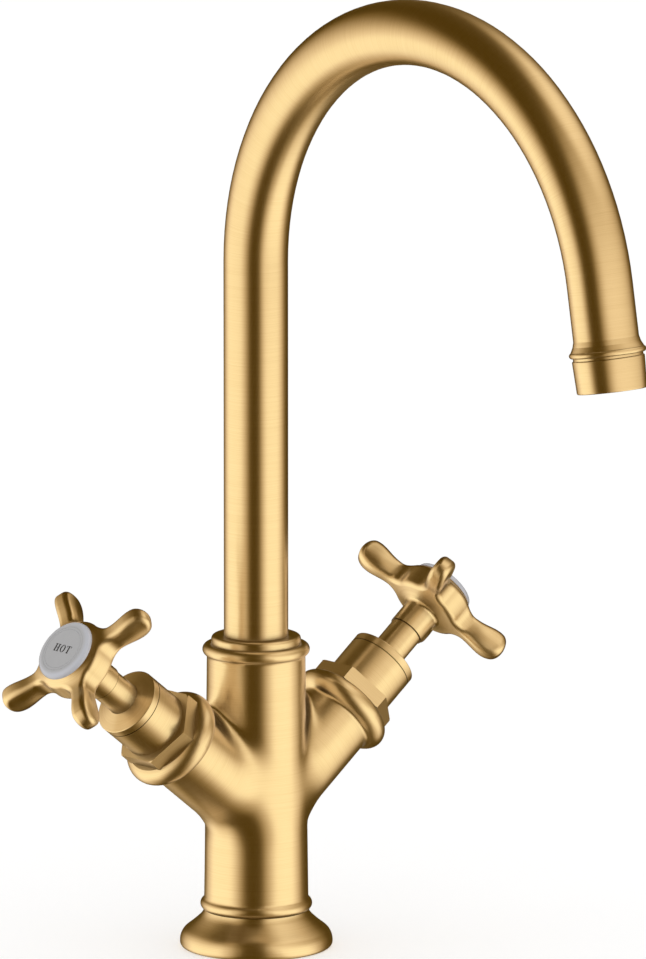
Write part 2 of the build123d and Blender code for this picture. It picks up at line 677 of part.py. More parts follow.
def spindle():
    plate_low = FIXED_AT + 2 * DISC_THICK + FACE_GAP
    plate_top = plate_low + PLATE_THICK - FACE_GAP
    shoulder = CHAMBER_TOP - SLIP
    shape = rod(DISC_RADIUS - SLIP, plate_low, plate_top)
    tang = TANG_DEPTH - SLIP
    shape += Pos(0, 0, plate_low - tang / 2) * Box(TANG_WIDTH - SLIP, TANG_LENGTH - SLIP, tang)
    shape += rod(HUB_RADIUS, plate_top, shoulder)
    shape += sector(DISC_RADIUS - SLIP, 0, plate_top, shoulder, STOP_LUG, 270 - QUARTER_TURN / 2)
    shape += rod(SHAFT_RADIUS, shoulder, SQUARE_START)
    shape += Pos(0, 0, (SQUARE_START + SHAFT_TOP) / 2) * Box(SQUARE, SQUARE, SHAFT_TOP - SQUARE_START)
    half = SPINDLE_RING_WIDTH / 2
    shape -= ring(SHAFT_RADIUS + 1, SPINDLE_RING_GROOVE, SPINDLE_RING_AT - half, SPINDLE_RING_AT + half)
    shape -= ring(SHAFT_RADIUS + 1, CLIP_GROOVE, NECK_TOP + SLIP, NECK_TOP + CLIP_THICK + 2 * SLIP)
    return shape - rod(SCREW_RADIUS, SCREW_HOLE_START, SHAFT_TOP)


def spindle_oring():
    return bead(SPINDLE_RING_GROOVE + SPINDLE_RING_SIZE, SPINDLE_RING_SIZE, SPINDLE_RING_AT)


def spindle_circlip():
    low = NECK_TOP + SLIP
    shape = ring(CLIP_RADIUS, CLIP_GROOVE, low, low + CLIP_THICK)
    gap = Pos(CLIP_RADIUS / 2, 0, low + CLIP_THICK / 2) * Box(CLIP_RADIUS, CLIP_GAP, CLIP_THICK)
    return shape - gap


def bonnet():
    return ring(BONNET_RADIUS, NECK_RADIUS + SLIP, HEX_TOP, BONNET_TOP)


def gland_cap():
    bore = STEM_RADIUS + RUN_FIT
    low = BONNET_TOP + CAP_GROOVE
    shape = turned([(bore, low), (BONNET_RADIUS, low), (BONNET_RADIUS, CAP_TOP), (bore, CAP_PEAK)])
    rim = shape.edges().filter_by(GeomType.CIRCLE).sort_by(lambda e: e.radius + e.center().Z)[-1]
    shape = fillet(rim, CAP_ROUND)
    shape += ring(CAP_GROOVE_RADIUS, bore, BONNET_TOP, BONNET_TOP + CAP_GROOVE)
    return shape + ring(NECK_RADIUS, CAP_COUNTERBORE, CAP_SPIGOT_START, BONNET_TOP)


def stem_sleeve():
    return ring(STEM_RADIUS, SHAFT_RADIUS + SLIP, STEM_START, STEM_TOP)


def paddle_points(points):
    return [(radius, 0, HUB_BACK + height) for radius, height in points]


def handle_side():
    front_line = Spline([(SEAT_RING, 0, SEAT_RING_TOP), *paddle_points(PADDLE_FRONT)])
    tip = Spline(paddle_points([PADDLE_FRONT[-1], *PADDLE_TIP, PADDLE_BACK[0]]))
    back_line = Spline([*paddle_points([*PADDLE_BACK, (HUB_RIM, 0)]), (NECK_OUTER, 0, NECK_FLARE)])
    core = Polyline(
        [
            (NECK_OUTER, 0, NECK_FLARE),
            (NECK_OUTER, 0, STEM_TOP),
            (0, 0, STEM_TOP),
            (0, 0, SEAT_RING_TOP),
            (SEAT_RING, 0, SEAT_RING_TOP),
        ]
    )
    side = make_face(front_line + tip + back_line + core)
    neck_corner = side.vertices().sort_by_distance((NECK_OUTER, 0, NECK_FLARE))[0]
    return revolve(fillet(neck_corner, NECK_ROUND), Axis.Z)


def handle_cross():
    hub = Circle(HUB_RIM)
    arms = Rectangle(2 * PADDLE_LENGTH, 2 * PADDLE_HALF) + Rectangle(2 * PADDLE_HALF, 2 * PADDLE_LENGTH)
    outline = hub + Rot(0, 0, 45) * arms
    prismatic = Pos(0, 0, STEM_TOP) * extrude(outline, SEAT_RING_TOP - STEM_TOP)
    corners = prismatic.edges().filter_by(Axis.Z)
    inner = corners.filter_by(lambda e: Vector(e.center().X, e.center().Y).length < PADDLE_LENGTH)
    return fillet(inner, WEB_FILLET)


def handle():
    shape = handle_side() & handle_cross()
    rims = shape.edges().filter_by(lambda e: e.center().Z > NECK_FLARE and e.geom_type != GeomType.CIRCLE)
    shape = fillet(rims.filter_by(lambda e: abs((e % 0.5).Z) < 0.95), HANDLE_EDGE)
    shape -= rod(SHAFT_RADIUS + SLIP, STEM_TOP, SQUARE_START)
    square = SQUARE + SLIP
    shape -= Pos(0, 0, (SQUARE_START + SHAFT_TOP) / 2) * Box(square, square, SHAFT_TOP - SQUARE_START)
    shape -= rod(SCREW_RADIUS + SLIP, SHAFT_TOP, SCREW_HEAD_START)
    shape -= rod(SCREW_HEAD + SLIP, SCREW_HEAD_START, RECESS_FLOOR)
    return shape - rod(RECESS_RADIUS, RECESS_FLOOR, SEAT_RING_TOP)


def handle_screw():
    head_top = SCREW_HEAD_START + SCREW_HEAD_THICK
    shape = rod(SCREW_RADIUS - SLIP, SCREW_START, SCREW_HEAD_START)
    shape += rod(SCREW_HEAD, SCREW_HEAD_START, head_top)
    slot = Pos(0, 0, head_top - SCREW_SLOT / 2) * Box(2 * SCREW_HEAD, SCREW_SLOT, SCREW_SLOT)
    return shape - slot


def index_cap():
    disc = rod(INDEX_RADIUS, SEAT_RING_TOP, INDEX_TOP)
    rim = disc.edges().group_by(Axis.Z)[-1]
    disc = fillet(rim, INDEX_ROUND)
    for line in INDEX_LINES:
        disc -= bead(line, INDEX_LINE_SIZE, INDEX_TOP)
    return disc + rod(RECESS_RADIUS - SLIP, INDEX_START, SEAT_RING_TOP)


os.makedirs("parts", exist_ok=True)

singles = {
    "base_flange": base_flange,
    "base_seal": base_seal,
    "body": body,
    "mounting_stud": mounting_stud,
    "deck_gasket": deck_gasket,
    "deck_washer": deck_washer,
    "stud_nut": stud_nut,
    "spout_collar": spout_collar,
    "spout_bush": spout_bush,
    "spout_tube": spout_tube,
    "spout_spigot": spout_spigot,
    "spout_orings": spout_orings,
    "spout_thrust_washer": spout_thrust_washer,
    "spout_grub_screw": spout_grub_screw,
    "outlet_collar": outlet_collar,
    "aerator_housing": aerator_housing,
    "aerator_seal": aerator_seal,
    "aerator_insert": aerator_insert,
    "aerator_screen": aerator_screen,
}
for node, make in singles.items():
    export_step(make(), f"parts/{node}.step")

pairs = {
    "valve_body": valve_body,
    "bonnet": bonnet,
    "gland_cap": gland_cap,
    "seat_seal": seat_seal,
    "fixed_disc": fixed_disc,
    "turning_disc": turning_disc,
    "spindle": spindle,
    "spindle_oring": spindle_oring,
    "spindle_circlip": spindle_circlip,
    "stem_sleeve": stem_sleeve,
    "handle": handle,
    "handle_screw": handle_screw,
    "index_cap": index_cap,
}
for node, make in pairs.items():
    shape = make()
    for name, side in (("hot", -1), ("cold", 1)):
        export_step(arm_place(side) * shape, f"parts/{name}_{node}.step")
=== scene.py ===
import json
import math
import bmesh
import bpy
from mathutils import Matrix, Vector

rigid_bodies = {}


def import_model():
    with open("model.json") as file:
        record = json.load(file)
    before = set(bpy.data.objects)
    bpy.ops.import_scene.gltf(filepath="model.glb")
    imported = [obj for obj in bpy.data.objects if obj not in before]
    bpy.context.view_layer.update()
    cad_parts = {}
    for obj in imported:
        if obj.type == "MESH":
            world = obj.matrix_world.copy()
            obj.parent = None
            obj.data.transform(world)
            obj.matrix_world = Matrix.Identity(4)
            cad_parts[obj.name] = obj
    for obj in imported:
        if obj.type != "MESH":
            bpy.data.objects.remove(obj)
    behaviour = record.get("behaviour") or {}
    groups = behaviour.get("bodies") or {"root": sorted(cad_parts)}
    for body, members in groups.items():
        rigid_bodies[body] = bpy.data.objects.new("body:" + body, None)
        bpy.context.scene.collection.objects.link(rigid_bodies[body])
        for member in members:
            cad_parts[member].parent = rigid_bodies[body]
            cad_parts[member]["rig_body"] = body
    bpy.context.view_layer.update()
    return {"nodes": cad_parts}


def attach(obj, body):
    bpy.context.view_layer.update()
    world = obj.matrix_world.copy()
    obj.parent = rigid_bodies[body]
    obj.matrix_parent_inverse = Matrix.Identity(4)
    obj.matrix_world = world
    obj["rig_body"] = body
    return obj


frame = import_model()
nodes = frame["nodes"]
print("frame loaded,", len(nodes), "nodes")

# Two raised arms: the axis of each goes through root and rises to its side
arms = {"root": Vector((0, 0, 0.04745)), "rise": math.radians(38.4), "sides": {"hot": -1, "cold": 1}}

# Spout line: riser up to bendStart, an arc of bendRadius, then a short straight end
spout = {"bendStart": 0.2383, "bendRadius": 0.0893, "bendAngle": math.radians(169.6)}

upward = Vector((0, 0, 1))
frontward = Vector((0, -1, 0))


def armAxis(side):
    return Vector((side * math.cos(arms["rise"]), 0, math.sin(arms["rise"])))


def addObject(name, data):
    thing = bpy.data.objects.new(name, data)
    bpy.context.scene.collection.objects.link(thing)
    return thing


# Node helpers
def feed(tree, socket, value):
    if isinstance(value, bpy.types.NodeSocket):
        tree.links.new(value, socket)
    else:
        socket.default_value = value


def calc(tree, operation, *values):
    node = tree.nodes.new("ShaderNodeMath")
    node.operation = operation
    for socket, value in zip(node.inputs, values):
        feed(tree, socket, value)
    return node.outputs[0]


def product(tree, first, *others):
    for other in others:
        first = calc(tree, "MULTIPLY", first, other)
    return first


def limited(tree, value, low, high):
    return calc(tree, "MINIMUM", calc(tree, "MAXIMUM", value, low), high)


def vectorOf(tree, operation, *values):
    node = tree.nodes.new("ShaderNodeVectorMath")
    node.operation = operation
    for socket, value in zip(node.inputs, values):
        feed(tree, socket, value)
    return node.outputs["Value" if operation in ("DOT_PRODUCT", "LENGTH") else "Vector"]


def dotWith(tree, vector, other):
    return vectorOf(tree, "DOT_PRODUCT", vector, other)


def lengthOf(tree, vector):
    return vectorOf(tree, "LENGTH", vector)


def unitOf(tree, vector):
    return vectorOf(tree, "NORMALIZE", vector)


def flatOf(tree, place):
    return vectorOf(tree, "MULTIPLY", place, (1, 1, 0))


def scaledBy(tree, vector, factor):
    node = tree.nodes.new("ShaderNodeVectorMath")
    node.operation = "SCALE"
    feed(tree, node.inputs[0], vector)
    feed(tree, node.inputs["Scale"], factor)
    return node.outputs["Vector"]


def joinVector(tree, *parts):
    node = tree.nodes.new("ShaderNodeCombineXYZ")
    for socket, value in zip(node.inputs, parts):
        feed(tree, socket, value)
    return node.outputs[0]


def blendValues(tree, factor, first, second):
    node = tree.nodes.new("ShaderNodeMix")
    feed(tree, node.inputs["Factor"], factor)
    feed(tree, node.inputs["A"], first)
    feed(tree, node.inputs["B"], second)
    return node.outputs["Result"]


def blendVectors(tree, factor, first, second):
    change = vectorOf(tree, "SUBTRACT", second, first)
    return vectorOf(tree, "ADD", first, scaledBy(tree, change, factor))


# The Mix node's colour sockets are numbers 6 and 7, and its colour output is 2
def mixColour(tree, factor, first, second):
    node = tree.nodes.new("ShaderNodeMix")
    node.data_type = "RGBA"
    feed(tree, node.inputs[0], factor)
    feed(tree, node.inputs[6], first)
    feed(tree, node.inputs[7], second)
    return node.outputs[2]


def ramp(tree, value, low, high, kind="SMOOTHSTEP"):
    node = tree.nodes.new("ShaderNodeMapRange")
    node.interpolation_type = kind
    feed(tree, node.inputs["Value"], value)
    node.inputs["From Min"].default_value = low
    node.inputs["From Max"].default_value = high
    return node.outputs["Result"]


# Noise in place, and where across is given along it too
def noise(tree, place, scale, detail, across=None):
    node = tree.nodes.new("ShaderNodeTexNoise")
    node.inputs["Scale"].default_value = scale
    node.inputs["Detail"].default_value = detail
    tree.links.new(place, node.inputs["Vector"])
    if across is not None:
        node.noise_dimensions = "4D"
        tree.links.new(across, node.inputs["W"])
    return node


def objectPlace(tree):
    return tree.nodes.new("ShaderNodeTexCoord").outputs["Object"]


def surfaceNormal(tree):
    return tree.nodes.new("ShaderNodeNewGeometry").outputs["Normal"]


def toWorldSpace(tree, vector, kind):
    node = tree.nodes.new("ShaderNodeVectorTransform")
    node.vector_type = kind
    node.convert_from = "OBJECT"
    node.convert_to = "WORLD"
    tree.links.new(vector, node.inputs["Vector"])
    return node.outputs["Vector"]


def heightToNormal(tree, height, depth):
    bump = tree.nodes.new("ShaderNodeBump")
    bump.inputs["Strength"].default_value = 1
    bump.inputs["Distance"].default_value = depth
    tree.links.new(height, bump.inputs["Height"])
    return bump.outputs["Normal"]


def emptyTree(owner):
    owner.use_nodes = True
    owner.node_tree.nodes.clear()
    return owner.node_tree


# Camera at the photograph's viewing angle, looking past the foot by right and up
view = {
    "azimuth": -40.3,
    "elevation": 11.09,
    "distance": 5.5,
    "right": 0.022838,
    "up": 0.159466,
    "perMetre": 2919.0,  # pixels of the photograph to a metre of the mixer
    "halfHeight": 479.5,  # of the photograph, in pixels
    "sensor": 36,
}


def addCamera():
    az = math.radians(view["azimuth"])
    el = math.radians(view["elevation"])
    back = Vector((math.sin(az) * math.cos(el), -math.cos(az) * math.cos(el), math.sin(el)))
    right = Vector((math.cos(az), math.sin(az), 0))
    up = back.cross(right)
    camera = addObject("camera", bpy.data.cameras.new("camera"))
    turn = Matrix((right, up, back)).transposed().to_4x4()
    place = view["right"] * right + view["up"] * up + view["distance"] * back
    camera.matrix_world = Matrix.Translation(place) @ turn
    camera.data.sensor_width = view["sensor"]
    camera.data.lens = view["sensor"] / 2 * view["distance"] * view["perMetre"] / view["halfHeight"]
    bpy.context.scene.camera = camera
    return right, back


cameraRight, cameraBack = addCamera()

# Studio that the metal mirrors: soft panels on a round wall about the mixer, seen by reflections only
# Angles are in degrees as seen from the riser, round to the camera's right and up, each with its soft edge
panels = {
    "left": {
        "from": (-138, 30),
        "to": (-35, 24),
        "low": (-60, 24),
        "high": (26, 34),
        "lean": -0.4,
        "level": 1,
    },
    "right": {
        "from": (22, 20),
        "to": (109, 28),
        "low": (-67, 28),
        "high": (7, 7),
        "lean": 0.75,
        "level": 1,
    },
    "upper": {
        "from": (19, 14),
        "to": (100, 60),
        "low": (-39, 60),
        "high": (44, 36),
        "lean": 0,
        "level": 0.91,
    },
    "top": {
        "from": (41, 24),
        "to": (149, 40),
        "low": (28, 30),
        "high": (72, 13),
        "lean": 0,
        "level": 0.92,
    },
}
wall = {
    "right": -0.163,  # centre from the riser, to the camera's right, away from the camera and up
    "away": 0.663,
    "up": 0.042,
    "radius": 1.045,
    "fineness": 5,
    "eye": 0.15,  # height that the angles are seen from
    "leanBelow": -20,
    "shade": 0.07,
    "glow": 1.2,
    "second": 0.6,  # level that metal seen in metal mirrors
    "secondDepth": 1.5,
}
wallTints = {
    0.06: (0.055, 0.033, 0.001, 1),
    0.2: (0.195, 0.138, 0.058, 1),
    0.55: (0.530, 0.455, 0.390, 1),
    0.9: (0.850, 0.795, 0.790, 1),
    1.0: (0.915, 0.935, 0.960, 1),
}


def panelLevel(tree, around, height, panel):
    below = calc(tree, "MAXIMUM", calc(tree, "SUBTRACT", wall["leanBelow"], height), 0)
    around = calc(tree, "SUBTRACT", around, calc(tree, "MULTIPLY", below, panel["lean"]))
    level = panel["level"]
    for value, near, far in ((around, "from", "to"), (height, "low", "high")):
        nearEdge, nearSoft = panel[near]
        farEdge, farSoft = panel[far]
        rise = ramp(tree, value, nearEdge - nearSoft, nearEdge + nearSoft)
        fall = ramp(tree, value, farEdge + farSoft, farEdge - farSoft)
        level = calc(tree, "MULTIPLY", level, calc(tree, "MULTIPLY", rise, fall))
    return level


def wallMaterial(flatBack):
    material = bpy.data.materials.new("studioWall")
    tree = emptyTree(material)
    material.cycles.emission_sampling = "NONE"
    ray = unitOf(tree, vectorOf(tree, "SUBTRACT", objectPlace(tree), (0, 0, wall["eye"])))
    around = calc(tree, "ARCTAN2", dotWith(tree, ray, cameraRight), dotWith(tree, ray, flatBack))
    around = calc(tree, "DEGREES", around)
    height = calc(tree, "DEGREES", calc(tree, "ARCSINE", dotWith(tree, ray, upward)))
    level = wall["shade"]
    for panel in panels.values():
        level = calc(tree, "MAXIMUM", level, panelLevel(tree, around, height, panel))
    depth = tree.nodes.new("ShaderNodeLightPath").outputs["Glossy Depth"]
    level = blendValues(tree, calc(tree, "GREATER_THAN", depth, wall["secondDepth"]), level, wall["second"])
    tint = tree.nodes.new("ShaderNodeValToRGB")
    stops = tint.color_ramp.elements
    for place, colour in wallTints.items():
        stops.new(place).color = colour
    stops.remove(stops[0])  # the two that a new ramp has
    stops.remove(stops[-1])
    tree.links.new(level, tint.inputs[0])
    glow = tree.nodes.new("ShaderNodeEmission")
    glow.inputs["Strength"].default_value = wall["glow"]
    tree.links.new(tint.outputs[0], glow.inputs["Color"])
    output = tree.nodes.new("ShaderNodeOutputMaterial")
    tree.links.new(glow.outputs[0], output.inputs[0])
    return material


def addWall():
    flatBack = Vector((cameraBack.x, cameraBack.y, 0)).normalized()
    centre = wall["right"] * cameraRight + wall["away"] * -flatBack + Vector((0, 0, wall["up"]))
    place = Matrix.Translation(centre)
    work = bmesh.new()
    bmesh.ops.create_icosphere(work, subdivisions=wall["fineness"], radius=wall["radius"], matrix=place)
    mesh = bpy.data.meshes.new("studioWall")
    work.to_mesh(mesh)
    work.free()
    for face in mesh.polygons:
        face.use_smooth = True
    shell = addObject("studioWall", mesh)
    mesh.materials.append(wallMaterial(flatBack))
    shell.visible_camera = False
    shell.visible_diffuse = False
    shell.visible_shadow = False


# Even light from all round, and white behind the mixer
worldFill = 0.75


def addWorld():
    world = bpy.data.worlds.new("studio")
    bpy.context.scene.world = world
    tree = emptyTree(world)
    path = tree.nodes.new("ShaderNodeLightPath")
    colour = mixColour(tree, path.outputs["Is Camera Ray"], (worldFill,) * 3 + (1,), (1, 1, 1, 1))
    background = tree.nodes.new("ShaderNodeBackground")
    tree.links.new(colour, background.inputs["Color"])
    output = tree.nodes.new("ShaderNodeOutputWorld")
    tree.links.new(background.outputs[0], output.inputs[0])
    world.cycles.sampling_method = "NONE"


floorLook = {"half": 6.0, "albedo": 0.8, "glow": 0.42}


def floorMaterial():
    material = bpy.data.materials.new("paleFloor")
    tree = emptyTree(material)
    diffuse = tree.nodes.new("ShaderNodeBsdfDiffuse")
    diffuse.inputs["Color"].default_value = (floorLook["albedo"],) * 3 + (1,)
    glow = tree.nodes.new("ShaderNodeEmission")
    path = tree.nodes.new("ShaderNodeLightPath")
    strength = calc(tree, "MULTIPLY", path.outputs["Is Camera Ray"], floorLook["glow"])
    tree.links.new(strength, glow.inputs["Strength"])
    both = tree.nodes.new("ShaderNodeAddShader")
    tree.links.new(diffuse.outputs[0], both.inputs[0])
    tree.links.new(glow.outputs[0], both.inputs[1])
    output = tree.nodes.new("ShaderNodeOutputMaterial")
    tree.links.new(both.outputs[0], output.inputs[0])
    return material


def addFloor():
    half = floorLook["half"]
    corners = [(-half, -half, 0), (half, -half, 0), (half, half, 0), (-half, half, 0)]
    mesh = bpy.data.meshes.new("floor")
    mesh.from_pydata(corners, [], [(0, 1, 2, 3)])
    mesh.materials.append(floorMaterial())
    floor = addObject("floor", mesh)
    floor.visible_glossy = False


addWorld()
addWall()
addFloor()
bpy.context.scene.view_settings.view_transform = "Standard"
print("camera, studio and floor set")

# Fine brushing: streaks that run where Across is constant, and broad clouds between them
streaks = {"detail": 2, "roughness": 0.6, "cloudScale": 60, "cloudDetail": 3, "cloudsAcross": 900}


def brushedLinesGroup():
    group = bpy.data.node_groups.new("brushedLines", "ShaderNodeTree")
    side = group.interface
    side.new_socket("Position", in_out="INPUT", socket_type="NodeSocketVector")
    for name in ("Across", "Width", "Length"):
        side.new_socket(name, in_out="INPUT", socket_type="NodeSocketFloat")
    for name in ("Lines", "Clouds"):
        side.new_socket(name, in_out="OUTPUT", socket_type="NodeSocketFloat")
    given = group.nodes.new("NodeGroupInput").outputs
    end = group.nodes.new("NodeGroupOutput")
    along = scaledBy(group, given["Position"], calc(group, "DIVIDE", 1, given["Length"]))
    across = calc(group, "DIVIDE", given["Across"], given["Width"])
    fine = noise(group, along, 1, streaks["detail"], across)
    fine.inputs["Roughness"].default_value = streaks["roughness"]
    cloudsAcross = calc(group, "MULTIPLY", given["Across"], streaks["cloudsAcross"])
    clouds = noise(group, given["Position"], streaks["cloudScale"], streaks["cloudDetail"], cloudsAcross)
    group.links.new(fine.outputs["Fac"], end.inputs["Lines"])
    group.links.new(clouds.outputs["Fac"], end.inputs["Clouds"])
    return group


brushedLines = brushedLinesGroup()

# Dark joint lines of the valve, by distance along the arm: cap ring on stem, stem in the handle's neck
joints = {"along": (0.0705, 0.086), "half": 0.00028, "colour": (0.16, 0.10, 0.02, 1)}


def jointShadeGroup():
    group = bpy.data.node_groups.new("jointShade", "ShaderNodeTree")
    group.interface.new_socket("Along", in_out="INPUT", socket_type="NodeSocketFloat")
    group.interface.new_socket("Shade", in_out="OUTPUT", socket_type="NodeSocketFloat")
    start = group.nodes.new("NodeGroupInput")
    end = group.nodes.new("NodeGroupOutput")
    shade = 0
    for place in joints["along"]:
        away = calc(group, "ABSOLUTE", calc(group, "SUBTRACT", start.outputs["Along"], place))
        shade = calc(group, "MAXIMUM", shade, ramp(group, away, joints["half"], 0))
    group.links.new(shade, end.inputs["Shade"])
    return group


jointShade = jointShadeGroup()


# Brushing of a turned shape: distance along its axis, and the direction round it
def fixedField(tree, place, axis, point):
    offset = vectorOf(tree, "SUBTRACT", place, point)
    return dotWith(tree, offset, axis), vectorOf(tree, "CROSS_PRODUCT", axis, offset)


def uprightField(tree, place):
    return fixedField(tree, place, upward, Vector((0, 0, 0)))


def armField(side):
    def field(tree, place):
        return fixedField(tree, place, armAxis(side), arms["root"])

    return field


# Either arm of the body, whichever is on this side
def bothArmsField(tree, place):
    hotAcross, aroundHot = armField(arms["sides"]["hot"])(tree, place)
    coldAcross, aroundCold = armField(arms["sides"]["cold"])(tree, place)
    isCold = calc(tree, "GREATER_THAN", dotWith(tree, place, (1, 0, 0)), 0)
    across = blendValues(tree, isCold, hotAcross, coldAcross)
    return across, blendVectors(tree, isCold, aroundHot, aroundCold)


# Two directions blended along the way they agree, since a streak has no front end
def blendStreaks(tree, factor, first, second):
    first = unitOf(tree, first)
    second = unitOf(tree, second)
    agree = calc(tree, "SIGN", dotWith(tree, first, second))
    return blendVectors(tree, factor, first, scaledBy(tree, second, agree))


# The body is turned round the column, and past the column's skin and above the foot round each arm
armShare = {"radius": (0.0176, 0.0235), "height": (0.020, 0.024)}


def outOnArm(tree, place):
    outside = ramp(tree, lengthOf(tree, flatOf(tree, place)), *armShare["radius"])
    aboveFoot = ramp(tree, dotWith(tree, place, upward), *armShare["height"])
    return calc(tree, "MULTIPLY", outside, aboveFoot)


# Arms and column flow into each other: the normal turns from one to the other over the blend's reach
blend = {
    "reach": 0.008,
    "columnLow": (0.015, 0.01787),  # height and radius of the column's skin at the foot bead
    "columnHigh": (0.1037, 0.01682),  # and at the top bead
    "armRadius": 0.0139,
    "inside": 0.0012,  # deeper than this under the skin are bores, which keep their own normals
    "low": (0.020, 0.023),
    "high": (0.096, 0.099),
    "armEnd": (0.0425, 0.045),
}


def softMeeting(tree, place):
    lowHeight, lowRadius = blend["columnLow"]
    highHeight, highRadius = blend["columnHigh"]
    height = dotWith(tree, place, upward)
    slope = (highRadius - lowRadius) / (highHeight - lowHeight)
    skin = calc(tree, "MULTIPLY_ADD", calc(tree, "SUBTRACT", height, lowHeight), slope, lowRadius)
    flat = flatOf(tree, place)
    nearest = calc(tree, "SUBTRACT", lengthOf(tree, flat), skin)
    normal = unitOf(tree, flat)
    offset = vectorOf(tree, "SUBTRACT", place, arms["root"])
    beforeEnd = 1
    for side in arms["sides"].values():
        along = dotWith(tree, offset, armAxis(side))
        onAxis = scaledBy(tree, armAxis(side), calc(tree, "MAXIMUM", along, 0))
        outward = vectorOf(tree, "SUBTRACT", offset, onAxis)
        fromArm = calc(tree, "SUBTRACT", lengthOf(tree, outward), blend["armRadius"])
        turned = ramp(tree, calc(tree, "SUBTRACT", nearest, fromArm), -blend["reach"], blend["reach"])
        normal = blendVectors(tree, turned, normal, unitOf(tree, outward))
        nearest = calc(tree, "MINIMUM", nearest, fromArm)
        beforeEnd = calc(tree, "MULTIPLY", beforeEnd, ramp(tree, along, *reversed(blend["armEnd"])))
    onSkin = ramp(tree, nearest, -blend["inside"], -blend["inside"] / 2)
    aboveFoot = ramp(tree, height, *blend["low"])
    belowTop = ramp(tree, height, *reversed(blend["high"]))
    share = product(tree, beforeEnd, onSkin, aboveFoot, belowTop)
    return unitOf(tree, blendVectors(tree, share, surfaceNormal(tree), toWorldSpace(tree, normal, "NORMAL")))


# The pipe's own line: turn is how far round the bend the nearest point of its centre line is
def spoutField(tree, place):
    radius = spout["bendRadius"]
    fromCentre = calc(tree, "SUBTRACT", dotWith(tree, place, frontward), radius)
    above = calc(tree, "SUBTRACT", dotWith(tree, place, upward), spout["bendStart"])
    turn = calc(tree, "ADD", calc(tree, "ARCTAN2", fromCentre, above), math.pi / 2)
    turn = limited(tree, turn, 0, spout["bendAngle"])
    sine = calc(tree, "SINE", turn)
    cosine = calc(tree, "COSINE", turn)
    centre = joinVector(tree, 0, calc(tree, "MULTIPLY", cosine, radius), calc(tree, "MULTIPLY", sine, radius))
    centre = vectorOf(tree, "ADD", centre, (0, -radius, spout["bendStart"]))
    line = joinVector(tree, 0, calc(tree, "MULTIPLY", sine, -1), cosine)
    offset = vectorOf(tree, "SUBTRACT", place, centre)
    across = calc(tree, "MULTIPLY_ADD", turn, radius, dotWith(tree, offset, line))
    return across, vectorOf(tree, "CROSS_PRODUCT", line, offset)


def outletField(tree, place):
    bend = spout["bendAngle"]
    radius = spout["bendRadius"]
    end = Vector((0, radius * (math.cos(bend) - 1), spout["bendStart"] + radius * math.sin(bend)))
    return fixedField(tree, place, Vector((0, -math.sin(bend), math.cos(bend))), end)


# Handle paddles: their faces lean with the distance along the arm, and across and along each paddle
crown = {
    "middle": 0.1009,  # middle of the paddles along the arm
    "alongRadius": 0.0085,
    "acrossRadius": 0.015,
    "lobe": 0.022,  # middle of the lobe, out from the stem
    "reach": 0.008,
    "lean": 0.118,
    "starts": (0.0145, 0.0195),
}


# Lean of a paddle's face lengthwise, outward past its lobe and inward before it
def lobeLean(tree, out):
    past = calc(tree, "DIVIDE", calc(tree, "SUBTRACT", out, crown["lobe"]), crown["reach"])
    past = limited(tree, past, -1, 1)
    return calc(tree, "MULTIPLY", calc(tree, "SINE", calc(tree, "MULTIPLY", past, math.pi)), crown["lean"])


# Paddles lie between the arm's uphill direction and the front or back, whichever way the handle faces
def paddleRound(side):
    axis = armAxis(side)
    uphill = Vector((-side * math.sin(arms["rise"]), 0, math.cos(arms["rise"])))
    ways = [(uphill + turn * frontward).normalized() for turn in (-1, 1)]

    def flow(tree, place):
        offset = vectorOf(tree, "SUBTRACT", place, arms["root"])
        along = calc(tree, "SUBTRACT", dotWith(tree, offset, axis), crown["middle"])
        tilt = scaledBy(tree, axis, calc(tree, "DIVIDE", along, crown["alongRadius"]))
        reaches = [dotWith(tree, offset, way) for way in ways]
        outs = [calc(tree, "ABSOLUTE", reach) for reach in reaches]
        for way, reach, out, other in zip(ways, reaches, outs, reversed(outs)):
            isLength = calc(tree, "GREATER_THAN", out, other)
            lengthwise = calc(tree, "MULTIPLY", lobeLean(tree, out), calc(tree, "SIGN", reach))
            crosswise = calc(tree, "DIVIDE", reach, crown["acrossRadius"])
            lean = blendValues(tree, isLength, crosswise, lengthwise)
            tilt = vectorOf(tree, "ADD", tilt, scaledBy(tree, way, lean))
        share = ramp(tree, calc(tree, "MAXIMUM", *outs), *crown["starts"])
        tilt = scaledBy(tree, toWorldSpace(tree, tilt, "VECTOR"), share)
        return unitOf(tree, vectorOf(tree, "ADD", surfaceNormal(tree), tilt))

    return flow


def newMaterial(name):
    material = bpy.data.materials.new(name)
    material.use_nodes = True
    return material, material.node_tree, material.node_tree.nodes["Principled BSDF"]


brushed = {
    "colour": (0.93, 0.70, 0.34, 1),
    "deep": (0.86, 0.63, 0.29, 1),
    "deepSpan": (0.3, 0.62),
    "near": (0.14, 0.10, 0.035, 1),  # painted reflection: how a close piece of the gold and a far one look, seen in the gold; close ones get painted shade, far ones a painted light tone
    "far": (1.0, 0.92, 0.80, 1),
    # ray lengths over which the painted shade of close gold gives way to the painted light of far gold
    "reach": (0.003, 0.011),
    "underShade": (-0.45, 0.0),  # upward share of the normal, over which an underside seen in the gold gets painted shade
    "roughness": 0.26,
    "roughSpread": 0.08,
    "stretch": 0.6,
    "stretchTurn": 0.25,  # a quarter turn sets the highlights across the streaks
    "lineDepth": 0.0000023,
    "lineWidth": 0.00017,
    "lineLength": 0.022,
}


def brushing(tree, place, field):
    lines = tree.nodes.new("ShaderNodeGroup")
    lines.node_tree = brushedLines
    tree.links.new(place, lines.inputs["Position"])
    across, around = field(tree, place)
    tree.links.new(across, lines.inputs["Across"])
    lines.inputs["Width"].default_value = brushed["lineWidth"]
    lines.inputs["Length"].default_value = brushed["lineLength"]
    return lines.outputs["Lines"], lines.outputs["Clouds"], across, around
